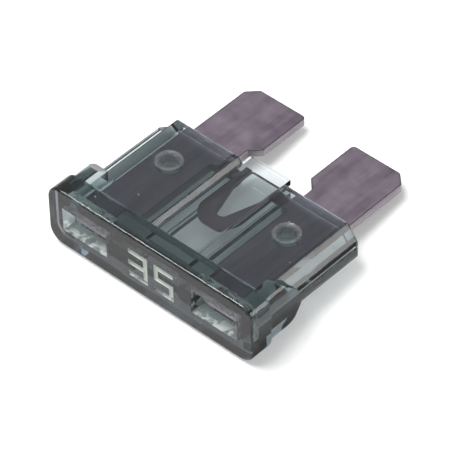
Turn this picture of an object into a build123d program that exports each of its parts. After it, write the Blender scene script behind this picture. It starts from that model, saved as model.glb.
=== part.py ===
"""Medium blade fuse: a clear moulded housing with one stamped zinc fuse element inside it.

The model is drawn about its own middle plane first: X across the width, Y from the head's
end face to the blade tips, Z through the thickness. It is then moved so that the origin is
under the middle of the fuse, level with the lowest face of the head.
"""
import os

from build123d import *

# Whole fuse, millimetres
OVERALL_LENGTH = 18.7
HEAD_WIDTH = 19.1
HEAD_THICKNESS = 5.1

# Head: the bar that a puller grips
HEAD_DEPTH = 2.0
HEAD_CORNER = 1.2
HEAD_EDGE = 0.18

# Shoulders: the head's two ends run on over the flanges and slope down to them
SHOULDER_FLAT_END = 3.3
SHOULDER_BEND = 4.6
SHOULDER_BEND_HEIGHT = 1.3
SHOULDER_END = 5.2
SHOULDER_TOP = 2.35
SHOULDER_WIDTH = 1.3
SHOULDER_CORNER = 1.0
SHOULDER_ROUNDING = 0.5

# Side flanges on the middle plane
FLANGE_HALF_WIDTH = 9.3
FLANGE_HALF_THICKNESS = 0.45
FLANGE_END = 11.6
FLANGE_CHAMFER = 0.6
FLANGE_EDGE = 0.12

# Raised bay over each blade, on both faces
BAY_ROOT = 8.8
BAY_OUTER = 7.95
BAY_INNER = 2.15
BAY_HALF_THICKNESS = 1.6
BAY_END = 11.6
BAY_EDGE = 0.2
CREASE = 0.15

# Thinner web between the bays, which shows the link
WEB_HALF_WIDTH = 1.85
WEB_HALF_THICKNESS = 1.15
WEB_END = 12.6

# Test windows in the head's end face
WINDOW_CENTRE = 6.05
WINDOW_WIDTH = 4.2
WINDOW_HEIGHT = 2.1
WINDOW_DEPTH = 1.2

# Cavity that the element is pushed into from the blade end, deeper round the link
CAVITY_START = 2.4
CAVITY_HALF_WIDTH = 7.5
CAVITY_HALF_THICKNESS = 0.42
LINK_ROOM_HALF_WIDTH = 2.0
LINK_ROOM_HALF_THICKNESS = 0.65

# Stakes: plastic pressed through a hole in each plate
STAKE_X = 5.5
STAKE_Y = 8.0
STAKE_DIAMETER = 1.5
DIMPLE_DIAMETER = 2.1
DIMPLE_DEPTH = 0.15

# Current rating, sunk in the end face
DIGIT_HEIGHT = 2.5
DIGIT_WIDTH = 1.8
DIGIT_STROKE = 0.4
DIGIT_DEPTH = 0.15
DIGIT_PITCH = 2.4
DIGIT_MIDDLE = 0.2

# Fuse element, one stamped sheet
SHEET = 0.65
LINK_SHEET = 0.3
BLADE_INNER = 2.2
BLADE_OUTER = 7.4
BLADE_OUTER_CHAMFER = 0.85
BLADE_TIP_RADIUS = 0.35
SHEET_EDGE = 0.06
NECK_INNER = 3.0
NECK_END = 13.4
PLATE_INNER = 3.5
PLATE_START = 2.6
PLATE_STEP = 10.2
TAB_INNER = 4.4
TAB_START = 0.75
STAKE_HOLE_DIAMETER = 1.6

# Link between the plates
LINK_OUTER = 1.85
LINK_BOTTOM = 6.0
LINK_TOP = 12.0
LINK_BOTTOM_RADIUS = 1.5
LINK_THROAT_TOP = 1.35
LINK_THROAT_SHOULDER = 10.4
LINK_THROAT_RADIUS = 0.45
LINK_THROAT_BOTTOM = 7.1
BRIDGE_START = 10.5
BRIDGE_END = 11.4


def along_length(section, start, end):
    """Extrudes a section drawn in XZ from one Y to another."""
    plane = Plane.XZ.offset(-start)
    return extrude(plane * section, amount=start - end)


def block(x_range, y_range, z_range):
    """A box between two X, two Y and two Z values."""
    size = [high - low for low, high in (x_range, y_range, z_range)]
    middle = [(high + low) / 2 for low, high in (x_range, y_range, z_range)]
    return Pos(*middle) * Box(*size)


def both_sides(solid):
    """The solid with its copy mirrored across the middle of the width."""
    return solid + mirror(solid, about=Plane.YZ)


def outline(points):
    """A flat face inside a closed line through the points."""
    return make_face(Polyline(*points, close=True))


def head():
    section = RectangleRounded(HEAD_WIDTH, HEAD_THICKNESS, HEAD_CORNER)
    bar = along_length(section, 0, HEAD_DEPTH)
    end_faces = bar.faces().filter_by(Axis.Y)
    return fillet(end_faces.edges(), HEAD_EDGE)


def shoulder():
    """Block behind one end of the head, level with it at first and then sloping to the flange."""
    upper = [
        (HEAD_DEPTH / 2, SHOULDER_TOP),
        (SHOULDER_FLAT_END, SHOULDER_TOP),
        (SHOULDER_BEND, SHOULDER_BEND_HEIGHT),
        (SHOULDER_END, FLANGE_HALF_THICKNESS),
    ]
    lower = [(y, -z) for y, z in reversed(upper)]
    profile = outline(upper + lower)
    bends = [v for v in profile.vertices() if HEAD_DEPTH < v.X < SHOULDER_END]
    profile = fillet(bends, SHOULDER_ROUNDING)
    side = Plane.YZ.offset(FLANGE_HALF_WIDTH - SHOULDER_WIDTH)
    raised = extrude(side * profile, amount=SHOULDER_WIDTH)
    reach = RectangleRounded(2 * FLANGE_HALF_WIDTH, 2 * SHOULDER_TOP, SHOULDER_CORNER)
    return raised & along_length(reach, 0, SHOULDER_END)


def bays():
    """The flat part behind the head, one section with a raised bay each side of the web."""
    right = [
        (WEB_HALF_WIDTH, WEB_HALF_THICKNESS),
        (BAY_INNER, BAY_HALF_THICKNESS),
        (BAY_OUTER, BAY_HALF_THICKNESS),
        (BAY_ROOT, FLANGE_HALF_THICKNESS),
    ]
    left = [(-x, z) for x, z in reversed(right)]
    top = left + right
    bottom = [(x, -z) for x, z in reversed(top)]
    section = outline(top + bottom)
    creases = [v for v in section.vertices() if abs(v.X) < BAY_ROOT - CREASE]
    section = fillet(creases, CREASE)
    solid = along_length(section, HEAD_DEPTH / 2, BAY_END)
    far_edges = solid.faces().sort_by(Axis.Y)[-1].edges()
    return fillet([e for e in far_edges if abs(e.center().Z) > WEB_HALF_THICKNESS], BAY_EDGE)


def flanges():
    """Thin plate on the middle plane that stands out beside both bays."""
    sheet = outline(
        [
            (-FLANGE_HALF_WIDTH, HEAD_DEPTH / 2),
            (FLANGE_HALF_WIDTH, HEAD_DEPTH / 2),
            (FLANGE_HALF_WIDTH, FLANGE_END - FLANGE_CHAMFER),
            (FLANGE_HALF_WIDTH - FLANGE_CHAMFER, FLANGE_END),
            (FLANGE_CHAMFER - FLANGE_HALF_WIDTH, FLANGE_END),
            (-FLANGE_HALF_WIDTH, FLANGE_END - FLANGE_CHAMFER),
        ]
    )
    plate = extrude(sheet, amount=FLANGE_HALF_THICKNESS, both=True)
    rims = [e for e in plate.edges() if abs(e.center().X) > BAY_ROOT]
    return fillet([e for e in rims if abs(e.center().Z) > FLANGE_EDGE], FLANGE_EDGE)


def web():
    """The part of the middle that runs on past the bays."""
    tongue = block(
        (-WEB_HALF_WIDTH, WEB_HALF_WIDTH),
        (BAY_END - 1, WEB_END),
        (-WEB_HALF_THICKNESS, WEB_HALF_THICKNESS),
    )
    far_edges = tongue.faces().sort_by(Axis.Y)[-1].edges()
    return fillet(far_edges, BAY_EDGE)


def window():
    """Recess in the end face and the slot behind it, where a plate's test tab shows."""
    half = WINDOW_WIDTH / 2
    recess = block(
        (WINDOW_CENTRE - half, WINDOW_CENTRE + half),
        (-1, WINDOW_DEPTH),
        (-WINDOW_HEIGHT / 2, WINDOW_HEIGHT / 2),
    )
    tab_slot = block(
        (TAB_INNER - 0.1, CAVITY_HALF_WIDTH),
        (WINDOW_DEPTH / 2, CAVITY_START + 1),
        (-CAVITY_HALF_THICKNESS, CAVITY_HALF_THICKNESS),
    )
    return recess + tab_slot


def cavity():
    """The hollow inside: a flat slot for both plates, and more room round the link."""
    plates = block(
        (-CAVITY_HALF_WIDTH, CAVITY_HALF_WIDTH),
        (CAVITY_START, WEB_END + 1),
        (-CAVITY_HALF_THICKNESS, CAVITY_HALF_THICKNESS),
    )
    room = block(
        (-LINK_ROOM_HALF_WIDTH, LINK_ROOM_HALF_WIDTH),
        (CAVITY_START, WEB_END + 1),
        (-LINK_ROOM_HALF_THICKNESS, LINK_ROOM_HALF_THICKNESS),
    )
    return plates + room


def dimples():
    """The two shallow round dents that the staking tool leaves over one plate."""
    radius = (DIMPLE_DIAMETER**2 / 4 + DIMPLE_DEPTH**2) / (2 * DIMPLE_DEPTH)
    height = BAY_HALF_THICKNESS - DIMPLE_DEPTH + radius
    upper = Pos(STAKE_X, STAKE_Y, height) * Sphere(radius)
    return upper + mirror(upper, about=Plane.XY)


def stake():
    """Plastic pin between the cavity's two faces, through the hole in one plate."""
    reach = CAVITY_HALF_THICKNESS + 0.2
    return Pos(STAKE_X, STAKE_Y, 0) * Cylinder(STAKE_DIAMETER / 2, 2 * reach)


def digit(bars, columns):
    """One squared numeral: bars are heights as shares of its own, columns are upright strokes."""
    middle = DIGIT_WIDTH / 2 - DIGIT_STROKE / 2
    reach = DIGIT_HEIGHT / 2 - DIGIT_STROKE / 2
    strokes = [Pos(0, bar * reach) * Rectangle(DIGIT_WIDTH, DIGIT_STROKE) for bar in bars]
    for side, low, high in columns:
        height = (high - low) * reach + DIGIT_STROKE
        at = Pos(side * middle, (high + low) / 2 * reach)
        strokes.append(at * Rectangle(DIGIT_STROKE, height))
    return Sketch() + strokes


def rating():
    """The numerals three and five, as cutters in the end face."""
    three = digit((-1, 0, 1), [(1, -1, 1)])
    five = digit((-1, 0, 1), [(-1, 0, 1), (1, -1, 0)])
    left = Pos(DIGIT_MIDDLE - DIGIT_PITCH / 2, 0) * three
    right = Pos(DIGIT_MIDDLE + DIGIT_PITCH / 2, 0) * five
    return along_length(left + right, -0.5, DIGIT_DEPTH)


def housing():
    shell = head() + both_sides(shoulder()) + bays() + flanges() + web()
    shell -= cavity()
    shell -= both_sides(window())
    shell -= both_sides(dimples())
    shell -= rating()
    return shell + both_sides(stake())


def plate():
    """One blade with the plate behind it and the narrow test tab that ends in the head."""
    edge = outline(
        [
            (TAB_INNER, TAB_START),
            (BLADE_OUTER, TAB_START),
            (BLADE_OUTER, OVERALL_LENGTH - BLADE_OUTER_CHAMFER),
            (BLADE_OUTER - BLADE_OUTER_CHAMFER, OVERALL_LENGTH),
            (BLADE_INNER, OVERALL_LENGTH),
            (BLADE_INNER, NECK_END + NECK_INNER - BLADE_INNER),
            (NECK_INNER, NECK_END),
            (NECK_INNER, PLATE_STEP),
            (PLATE_INNER, PLATE_STEP),
            (PLATE_INNER, PLATE_START),
            (TAB_INNER, PLATE_START),
        ]
    )
    tip = [v for v in edge.vertices() if v.Y > OVERALL_LENGTH - BLADE_OUTER_CHAMFER - 0.01]
    edge = fillet(tip, BLADE_TIP_RADIUS)
    edge -= Pos(STAKE_X, STAKE_Y) * Circle(STAKE_HOLE_DIAMETER / 2)
    return extrude(edge, amount=SHEET / 2, both=True)


def link():
    """Thin loop that melts at overload, open towards the blades, with a bridge to each plate."""
    loop = outline(
        [
            (-LINK_OUTER, LINK_TOP),
            (-LINK_OUTER, LINK_BOTTOM),
            (LINK_OUTER, LINK_BOTTOM),
            (LINK_OUTER, LINK_TOP),
        ]
    )
    loop = fillet(loop.vertices().group_by(Axis.Y)[0], LINK_BOTTOM_RADIUS)
    mouth = Pos(0, LINK_TOP + 1) * Rectangle(2 * LINK_THROAT_TOP, 0.1)
    shoulder = Pos(0, LINK_THROAT_SHOULDER) * Rectangle(2 * LINK_THROAT_TOP, 0.1)
    bottom = Pos(0, LINK_THROAT_BOTTOM + LINK_THROAT_RADIUS) * Circle(LINK_THROAT_RADIUS)
    throat = make_hull((mouth + shoulder + bottom).edges())
    bridge = Pos(0, (BRIDGE_START + BRIDGE_END) / 2) * Rectangle(
        2 * NECK_INNER + 0.2, BRIDGE_END - BRIDGE_START
    )
    return extrude(loop + bridge - throat, amount=LINK_SHEET / 2, both=True)


def fuse_element():
    """The whole stamping, with the cut edges of its blades and plates slightly rounded."""
    sheet = both_sides(plate()) + link()
    rims = [e for e in sheet.edges() if abs(abs(e.center().Z) - SHEET / 2) < 0.001]
    return fillet(rims, SHEET_EDGE)


os.makedirs("parts", exist_ok=True)
in_place = Pos(0, -OVERALL_LENGTH / 2, HEAD_THICKNESS / 2)
export_step(in_place * housing(), "parts/housing.step")
export_step(in_place * fuse_element(), "parts/fuse_element.step")
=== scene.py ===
import math

import bpy
from mathutils import Matrix, Vector


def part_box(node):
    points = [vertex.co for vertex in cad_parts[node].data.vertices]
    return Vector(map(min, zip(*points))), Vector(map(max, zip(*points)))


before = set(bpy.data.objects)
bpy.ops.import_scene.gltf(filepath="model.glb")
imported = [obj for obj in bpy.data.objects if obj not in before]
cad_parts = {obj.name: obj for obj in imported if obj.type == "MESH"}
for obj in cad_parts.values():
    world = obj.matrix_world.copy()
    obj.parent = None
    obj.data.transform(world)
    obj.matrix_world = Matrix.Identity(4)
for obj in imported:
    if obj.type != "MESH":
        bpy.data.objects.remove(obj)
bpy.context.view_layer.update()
bpy.ops.object.select_all(action="DESELECT")


# --- Table top -------------------------------------------------------------------------
# The fuse lies on a plain pale sheet. Its head is thicker than its body, so it leans back
# until the body's far edge touches, and the sheet is laid against those two lowest edges.
SHEET_SIZE = 1.6
SAME_LEVEL = 1e-5
BEYOND_HEEL = 0.002
CLEARANCE = 5e-6

housing = bpy.data.objects["housing"]
corners = [v.co.copy() for v in housing.data.vertices]
lowest = min(p.z for p in corners)
heel = max((p for p in corners if p.z < lowest + SAME_LEVEL), key=lambda p: p.y)
beyond = [p for p in corners if p.y > heel.y + BEYOND_HEEL]
lean = min(math.atan2(p.z - heel.z, p.y - heel.y) for p in beyond)

bpy.ops.mesh.primitive_plane_add(size=SHEET_SIZE)
table_top = bpy.context.object
table_top.name = "table_top"
laid = Matrix.Translation((0, heel.y, heel.z - CLEARANCE)) @ Matrix.Rotation(lean, 4, "X")
table_top.data.transform(laid)

# The sheet is white paper, lit evenly from below wherever it is seen straight or through
# the clear plastic, so that it stays white right up to the fuse.
sheet = bpy.data.materials.new("white_sheet")
sheet.use_nodes = True
nodes, links = sheet.node_tree.nodes, sheet.node_tree.links
nodes.clear()
output = nodes.new("ShaderNodeOutputMaterial")
paper = nodes.new("ShaderNodeBsdfDiffuse")
paper.inputs["Color"].default_value = (0.75, 0.75, 0.75, 1)
glow = nodes.new("ShaderNodeEmission")
glow.inputs["Color"].default_value = (1, 1, 1, 1)
glow.inputs["Strength"].default_value = 0.30
lit_paper = nodes.new("ShaderNodeAddShader")
seen = nodes.new("ShaderNodeMixShader")
path = nodes.new("ShaderNodeLightPath")
any_sight = nodes.new("ShaderNodeMath")
any_sight.operation = "MAXIMUM"
links.new(path.outputs["Is Camera Ray"], any_sight.inputs[0])
links.new(path.outputs["Is Transmission Ray"], any_sight.inputs[1])
links.new(paper.outputs[0], lit_paper.inputs[0])
links.new(glow.outputs[0], lit_paper.inputs[1])
links.new(any_sight.outputs[0], seen.inputs[0])
links.new(paper.outputs[0], seen.inputs[1])
links.new(lit_paper.outputs[0], seen.inputs[2])
links.new(seen.outputs[0], output.inputs["Surface"])
table_top.data.materials.append(sheet)


# --- Handling marks --------------------------------------------------------------------
# Fine rubbed scratches and small specks of dust that both the plastic and the metal have
# from being tipped about loose in a box. One node group, placed in both materials.
SCRATCH_TURNS = (12, 71, 128)
SCRATCH_STRETCH = (1, 0.03, 1)
DUST_PATCHES = 260

marks = bpy.data.node_groups.new("handling_marks", "ShaderNodeTree")
for name, kind in (
    ("Vector", "NodeSocketVector"),
    ("Scratch Scale", "NodeSocketFloat"),
    ("Dust Scale", "NodeSocketFloat"),
):
    marks.interface.new_socket(name, in_out="INPUT", socket_type=kind)
for name in ("Scratches", "Dust"):
    marks.interface.new_socket(name, in_out="OUTPUT", socket_type="NodeSocketFloat")


def node(tree, kind, **settings):
    """A new node in a tree with some of its settings made."""
    made = tree.nodes.new(kind)
    for name, value in settings.items():
        setattr(made, name, value)
    return made


def put(tree, value, slot):
    """Sets a socket to a plain number or colour, or links it to another node's output."""
    if isinstance(value, bpy.types.NodeSocket):
        tree.links.new(value, slot)
    else:
        slot.default_value = value


def stretch_range(tree, value, low, high, bottom=0.0, top=1.0):
    """A value stretched from one range to another, and held at its ends."""
    made = node(tree, "ShaderNodeMapRange", clamp=True)
    tree.links.new(value, made.inputs["Value"])
    made.inputs["From Min"].default_value = low
    made.inputs["From Max"].default_value = high
    made.inputs["To Min"].default_value = bottom
    made.inputs["To Max"].default_value = top
    return made.outputs["Result"]


def math_of(tree, operation, first, second=0.0):
    """The result of one Math node on sockets and plain numbers."""
    made = node(tree, "ShaderNodeMath", operation=operation)
    put(tree, first, made.inputs[0])
    put(tree, second, made.inputs[1])
    return made.outputs[0]


def times(tree, first, second):
    """Two values multiplied."""
    return math_of(tree, "MULTIPLY", first, second)


def drawn_out(tree, vector, scale, turn=0.0):
    """Coordinates scaled unevenly and turned about Z by a number of degrees."""
    made = node(tree, "ShaderNodeMapping")
    tree.links.new(vector, made.inputs["Vector"])
    made.inputs["Scale"].default_value = scale
    made.inputs["Rotation"].default_value = (0, 0, math.radians(turn))
    return made.outputs[0]


def noise(tree, vector, scale, detail=2.0, distortion=0.0):
    """Noise with a number of lumps to the metre."""
    made = node(tree, "ShaderNodeTexNoise")
    tree.links.new(vector, made.inputs["Vector"])
    put(tree, scale, made.inputs["Scale"])
    made.inputs["Detail"].default_value = detail
    made.inputs["Distortion"].default_value = distortion
    return made.outputs[0]


given = node(marks, "NodeGroupInput")
result = node(marks, "NodeGroupOutput")
scratches = 0.0
for turn in SCRATCH_TURNS:
    lay = drawn_out(marks, given.outputs["Vector"], SCRATCH_STRETCH, turn)
    lines = noise(marks, lay, given.outputs["Scratch Scale"], 1.0)
    scratches = math_of(marks, "MAXIMUM", scratches, stretch_range(marks, lines, 0.70, 0.76))
marks.links.new(scratches, result.inputs["Scratches"])
specks = node(marks, "ShaderNodeTexVoronoi")
marks.links.new(given.outputs["Vector"], specks.inputs["Vector"])
marks.links.new(given.outputs["Dust Scale"], specks.inputs["Scale"])
near_point = stretch_range(marks, specks.outputs["Distance"], 0.09, 0.04)
patches = stretch_range(marks, noise(marks, given.outputs["Vector"], DUST_PATCHES), 0.50, 0.66)
marks.links.new(times(marks, near_point, patches), result.inputs["Dust"])


def handled(tree, place, scratch_scale, dust_scale):
    """The handling marks placed in a material: its scratches and its dust."""
    used = node(tree, "ShaderNodeGroup", node_tree=marks)
    tree.links.new(place, used.inputs["Vector"])
    used.inputs["Scratch Scale"].default_value = scratch_scale
    used.inputs["Dust Scale"].default_value = dust_scale
    return used.outputs["Scratches"], used.outputs["Dust"]


# --- Housing ---------------------------------------------------------------------------
# One injection-moulded piece of clear polycarbonate with a smoky blue-grey tint, glossy
# from the mould. The tint is in the plastic, so thick places look darker than thin ones.
SMOKY_TINT = (0.20, 0.34, 0.36, 1)
TINT_DENSITY = 560
POLYCARBONATE_IOR = 1.58

clear = bpy.data.materials.new("smoky_clear_plastic")
clear.use_nodes = True
tree = clear.node_tree
plastic = tree.nodes["Principled BSDF"]
plastic.inputs["Transmission Weight"].default_value = 1
plastic.inputs["IOR"].default_value = POLYCARBONATE_IOR
tint = node(tree, "ShaderNodeVolumeAbsorption")
tint.inputs["Color"].default_value = SMOKY_TINT
tint.inputs["Density"].default_value = TINT_DENSITY
tree.links.new(tint.outputs[0], tree.nodes["Material Output"].inputs["Volume"])
place = node(tree, "ShaderNodeTexCoord").outputs["Object"]
low, high = (Vector(corner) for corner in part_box("housing"))
middle_height = (low.z + high.z) / 2


def plus(tree, first, second):
    """Two values added."""
    return math_of(tree, "ADD", first, second)


def blended(tree, share, first, second):
    """The first colour turning into the second as the share goes from zero to one."""
    made = node(tree, "ShaderNodeMix", data_type="RGBA")
    put(tree, share, made.inputs[0])
    put(tree, first, made.inputs[6])
    put(tree, second, made.inputs[7])
    return made.outputs[2]


def box_mask(tree, place, centre, half):
    """One inside an upright box in the piece's own coordinates, and zero outside."""
    shifted = node(tree, "ShaderNodeVectorMath", operation="SUBTRACT")
    tree.links.new(place, shifted.inputs[0])
    shifted.inputs[1].default_value = centre
    size = node(tree, "ShaderNodeVectorMath", operation="ABSOLUTE")
    tree.links.new(shifted.outputs[0], size.inputs[0])
    parts = node(tree, "ShaderNodeSeparateXYZ")
    tree.links.new(size.outputs[0], parts.inputs[0])
    inside = 1.0
    for axis, limit in zip(parts.outputs, half):
        inside = times(tree, inside, math_of(tree, "LESS_THAN", axis, limit))
    return inside


def distance_from_post(tree, place, across, along):
    """How far a point is, level, from an upright line through the piece."""
    shifted = node(tree, "ShaderNodeVectorMath", operation="SUBTRACT")
    tree.links.new(place, shifted.inputs[0])
    shifted.inputs[1].default_value = (across, along, 0)
    level = node(tree, "ShaderNodeVectorMath", operation="MULTIPLY")
    tree.links.new(shifted.outputs[0], level.inputs[0])
    level.inputs[1].default_value = (1, 1, 0)
    away = node(tree, "ShaderNodeVectorMath", operation="LENGTH")
    tree.links.new(level.outputs[0], away.inputs[0])
    return away.outputs["Value"]


def bumped(tree, height, strength, distance):
    """The surface's direction, where a height from zero to one stands out by a distance."""
    made = node(tree, "ShaderNodeBump")
    made.inputs["Strength"].default_value = strength
    made.inputs["Distance"].default_value = distance
    tree.links.new(height, made.inputs["Height"])
    return made.outputs[0]


# The mould's steel is matt in the sunk numerals and in the two test windows.
NUMERALS_ACROSS = 0.0002
NUMERALS_DEPTH = 0.0002
NUMERALS_HALF_BOX = (0.0024, 0.00018, 0.0014)
WINDOWS_DEPTH = 0.00075
WINDOWS_HALF_BOX = (0.0082, 0.00072, 0.00107)

numerals_middle = (NUMERALS_ACROSS, low.y + NUMERALS_DEPTH, middle_height)
numerals = box_mask(tree, place, numerals_middle, NUMERALS_HALF_BOX)
windows_middle = (0, low.y + WINDOWS_DEPTH, middle_height)
windows = box_mask(tree, place, windows_middle, WINDOWS_HALF_BOX)
window_skin = math_of(tree, "SUBTRACT", windows, numerals)

# So is the round dent that the staking tool leaves over each plate, most of all its rim.
DENT_ACROSS = 0.0055
DENT_ALONG = -0.00135
DENT_RIM_OUTSIDE, DENT_RIM_INSIDE = 0.00107, 0.00100
DENT_FADE_START, DENT_FADE_END = 0.00095, 0.00060

dents, dent_rims = 0.0, 0.0
for side in (-1, 1):
    away = distance_from_post(tree, place, side * DENT_ACROSS, DENT_ALONG)
    dent = stretch_range(tree, away, DENT_RIM_OUTSIDE, DENT_RIM_INSIDE)
    hollow = stretch_range(tree, away, DENT_FADE_START, DENT_FADE_END)
    dents = plus(tree, dents, dent)
    dent_rims = plus(tree, dent_rims, math_of(tree, "SUBTRACT", dent, hollow))

# Flow marks from the moulding, and marks of handling.
GLOSSIEST, DULLEST = 0.02, 0.06
FLOW_TINT = (0.90, 0.93, 0.95, 1)
CLEAR_TINT = (1.0, 1.0, 1.0, 1)

cloudy = noise(tree, place, 420, 3.0)
flow = noise(tree, drawn_out(tree, place, (1, 0.25, 1)), 900, 2.0, 0.6)
scratches, dust = handled(tree, place, 5200, 1000)
skin = stretch_range(tree, cloudy, 0.35, 0.7, GLOSSIEST, DULLEST)
for where, rougher_by in (
    (scratches, 0.10),
    (dust, 0.30),
    (window_skin, 0.10),
    (numerals, 0.10),
    (dents, 0.16),
):
    skin = plus(tree, skin, times(tree, where, rougher_by))
tree.links.new(skin, plastic.inputs["Roughness"])
shade = blended(tree, stretch_range(tree, flow, 0.3, 0.7), FLOW_TINT, CLEAR_TINT)

# The flat end face is painted a darker brown as painted shade, deeper in some places than
# in others.
END_FACE_HALF_BOX = (0.0094, 0.00003, 0.0024)
END_FACE_PAINTED_SHADE = (0.17, 0.115, 0.16, 1)

end_face_shade = box_mask(tree, place, (0, low.y, middle_height), END_FACE_HALF_BOX)
end_face_shade = times(tree, end_face_shade, stretch_range(tree, cloudy, 0.3, 0.6, 0.80, 1.0))
shade = blended(tree, end_face_shade, shade, END_FACE_PAINTED_SHADE)
tree.links.new(shade, plastic.inputs["Base Color"])

grain = noise(tree, place, 6000, 3.0)
lumps = noise(tree, place, 1500, 2.0, 0.5)
matt = math_of(tree, "MAXIMUM", numerals, windows)
relief = times(tree, times(tree, matt, grain), 0.5)
relief = plus(tree, relief, times(tree, window_skin, lumps))
relief = plus(tree, relief, times(tree, flow, 0.25))
moulded_skin = bumped(tree, relief, 0.5, 0.00004)
tree.links.new(moulded_skin, plastic.inputs["Normal"])

# Where it is matt it scatters light: a pale frosted skin over the clear plastic.
FROST_WHITE = (0.80, 0.85, 0.80, 1)
FROST_ROUGHNESS = 0.6

frost = node(tree, "ShaderNodeBsdfPrincipled")
frost.inputs["Base Color"].default_value = FROST_WHITE
frost.inputs["Roughness"].default_value = FROST_ROUGHNESS
tree.links.new(moulded_skin, frost.inputs["Normal"])
window_lumps = stretch_range(tree, lumps, 0.43, 0.56, 0.05, 0.68)
frosted = times(tree, window_skin, window_lumps)
for where, share in (
    (numerals, 0.95),
    (dust, 0.35),
    (times(tree, dent_rims, lumps), 0.17),
):
    frosted = plus(tree, frosted, times(tree, where, share))
skin_mix = node(tree, "ShaderNodeMixShader")
tree.links.new(frosted, skin_mix.inputs[0])
tree.links.new(plastic.outputs[0], skin_mix.inputs[1])
tree.links.new(frost.outputs[0], skin_mix.inputs[2])
tree.links.new(skin_mix.outputs[0], tree.nodes["Material Output"].inputs["Surface"])
housing.data.materials.clear()
housing.data.materials.append(clear)


# --- Fuse element ----------------------------------------------------------------------
# One piece stamped from zinc sheet: two blades, their plates and the thin link. The sheet
# is satin, with faint lines along the way it was rolled; its sheared edges are brighter,
# partly as a painted highlight.
DARK_ZINC = (0.178, 0.147, 0.184, 1)
LIGHT_ZINC = (0.248, 0.208, 0.251, 1)
BROAD_STREAKS = (1, 0.07, 1)
FINE_STREAKS = (1, 0.03, 1)

element = bpy.data.objects["fuse_element"]
zinc = bpy.data.materials.new("stamped_zinc")
zinc.use_nodes = True
tree = zinc.node_tree
metal = tree.nodes["Principled BSDF"]
metal.inputs["Metallic"].default_value = 1
texture_space = node(tree, "ShaderNodeTexCoord")
place = texture_space.outputs["Object"]

broad = noise(tree, drawn_out(tree, place, BROAD_STREAKS), 900, 2.0)
fine = noise(tree, drawn_out(tree, place, FINE_STREAKS), 5200, 3.0)
mottle = noise(tree, place, 700, 4.0)
rolled = plus(tree, times(tree, broad, 0.75), times(tree, fine, 0.25))
colour = blended(tree, stretch_range(tree, rolled, 0.36, 0.60), DARK_ZINC, LIGHT_ZINC)

# The punch leaves a brighter face all round the edge of the sheet; part of that brightness
# is a painted highlight.
SHEARED_EDGE_AND_HIGHLIGHT = (0.42, 0.38, 0.42, 1)

facing = node(tree, "ShaderNodeSeparateXYZ")
tree.links.new(texture_space.outputs["Normal"], facing.inputs[0])
upright = math_of(tree, "ABSOLUTE", facing.outputs["Z"])
sheared_and_highlight = stretch_range(tree, upright, 0.75, 0.35)
broken = stretch_range(tree, fine, 0.35, 0.6, 0.5, 1.0)
colour = blended(tree, times(tree, sheared_and_highlight, broken), colour, SHEARED_EDGE_AND_HIGHLIGHT)

# The link is coined thinner; its dark colour is painted shade over the same zinc.
LINK_PAINTED_SHADE = (0.075, 0.065, 0.085, 1)
LINK_ALONG = -0.00035
LINK_HALF_BOX = (0.0030, 0.0032, 0.0006)

link = box_mask(tree, place, (0, LINK_ALONG, middle_height), LINK_HALF_BOX)
colour = blended(tree, times(tree, link, 0.8), colour, LINK_PAINTED_SHADE)

# A hair line round the flat faces, just inside their rounded rim, is painted dark: painted
# shade where the surface rolls over.
RIM_PAINTED_SHADE = (0.05, 0.042, 0.055, 1)
RIM_WIDTH = 0.00022

rim = node(tree, "ShaderNodeBevel", samples=6)
rim.inputs["Radius"].default_value = RIM_WIDTH
surface = node(tree, "ShaderNodeNewGeometry")
bent = node(tree, "ShaderNodeVectorMath", operation="DOT_PRODUCT")
tree.links.new(rim.outputs[0], bent.inputs[0])
tree.links.new(surface.outputs["Normal"], bent.inputs[1])
rim_shade = stretch_range(tree, bent.outputs["Value"], 0.998, 0.96)
rim_shade = times(tree, rim_shade, stretch_range(tree, upright, 0.3, 0.7))
colour = blended(tree, times(tree, rim_shade, 0.8), colour, RIM_PAINTED_SHADE)
tree.links.new(colour, metal.inputs["Base Color"])

# Scratches are a little smoother than the satin sheet, and dust is rougher.
SMOOTHEST_SATIN, ROUGHEST_SATIN = 0.34, 0.52

scratches, dust = handled(tree, place, 4200, 1200)
satin = stretch_range(tree, mottle, 0.3, 0.7, SMOOTHEST_SATIN, ROUGHEST_SATIN)
for where, rougher_by in ((scratches, -0.08), (dust, 0.20)):
    satin = plus(tree, satin, times(tree, where, rougher_by))
tree.links.new(satin, metal.inputs["Roughness"])

relief = plus(tree, fine, times(tree, mottle, 0.5))
relief = math_of(tree, "SUBTRACT", relief, times(tree, scratches, 0.6))
tree.links.new(bumped(tree, relief, 0.35, 0.00002), metal.inputs["Normal"])
element.data.materials.clear()
element.data.materials.append(zinc)


# --- Light -----------------------------------------------------------------------------
# An even white room that is a little darker on the side that is open towards the camera,
# a soft box high on the left, and a small one low on the right that shines along the side.
OPEN_SIDE = (0.55, -0.75, 0.37)
FAR_WALL, OPEN_WALL = 0.50, 0.18

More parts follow.
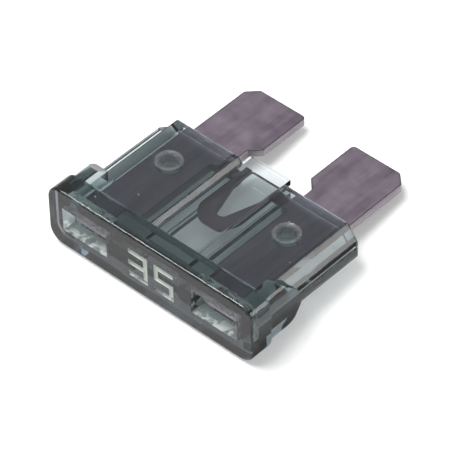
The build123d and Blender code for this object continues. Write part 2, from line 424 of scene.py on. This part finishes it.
world = bpy.data.worlds.new("white_room")
bpy.context.scene.world = world
world.use_nodes = True
tree = world.node_tree
air = tree.nodes["Background"]
air.inputs["Color"].default_value = (1, 1, 1, 1)
direction = node(tree, "ShaderNodeTexCoord").outputs["Generated"]
open_side = node(tree, "ShaderNodeVectorMath", operation="DOT_PRODUCT")
open_side.inputs[1].default_value = OPEN_SIDE
tree.links.new(direction, open_side.inputs[0])
room = stretch_range(tree, open_side.outputs["Value"], -0.2, 0.9, FAR_WALL, OPEN_WALL)
tree.links.new(room, air.inputs["Strength"])


def soft_box(name, at, size, watts):
    """A square lamp at a place in metres, aimed at the fuse."""
    lamp = bpy.data.lights.new(name, "AREA")
    lamp.size = size
    lamp.energy = watts
    box = bpy.data.objects.new(name, lamp)
    bpy.context.collection.objects.link(box)
    box.location = at
    box.rotation_euler = (-Vector(at)).to_track_quat("-Z", "Y").to_euler()
    return box


soft_box("key_light", (-0.13, -0.07, 0.36), 0.25, 1.90)

# The low one is there to gleam on the outer walls, and isn't seen through the plastic.
side_strip = soft_box("side_strip", (0.315, 0.205, 0.130), 0.15, 0.28)
side_strip.visible_transmission = False


# --- Camera ----------------------------------------------------------------------------
# Close over the fuse's right front corner, with the blades pointing away.
AZIMUTH = math.radians(43.5)
ELEVATION = math.radians(43.9)
ROLL = math.radians(-1.45)
DISTANCE = 0.2444
FOCAL_LENGTH = 282.4
SENSOR_WIDTH = 36
NEAREST = 0.01

aim = Vector((0.000156, -0.001816, 0.001825))
toward = Vector(
    (
        math.sin(AZIMUTH) * math.cos(ELEVATION),
        -math.cos(AZIMUTH) * math.cos(ELEVATION),
        math.sin(ELEVATION),
    )
)
lens = bpy.data.cameras.new("camera")
lens.sensor_width = SENSOR_WIDTH
lens.lens = FOCAL_LENGTH
lens.clip_start = NEAREST
camera = bpy.data.objects.new("camera", lens)
bpy.context.collection.objects.link(camera)
turn = toward.to_track_quat("Z", "Y") @ Matrix.Rotation(ROLL, 3, "Z").to_quaternion()
camera.matrix_world = Matrix.Translation(aim + toward * DISTANCE) @ turn.to_matrix().to_4x4()
bpy.context.scene.camera = camera
bpy.context.scene.view_settings.view_transform = "Standard"
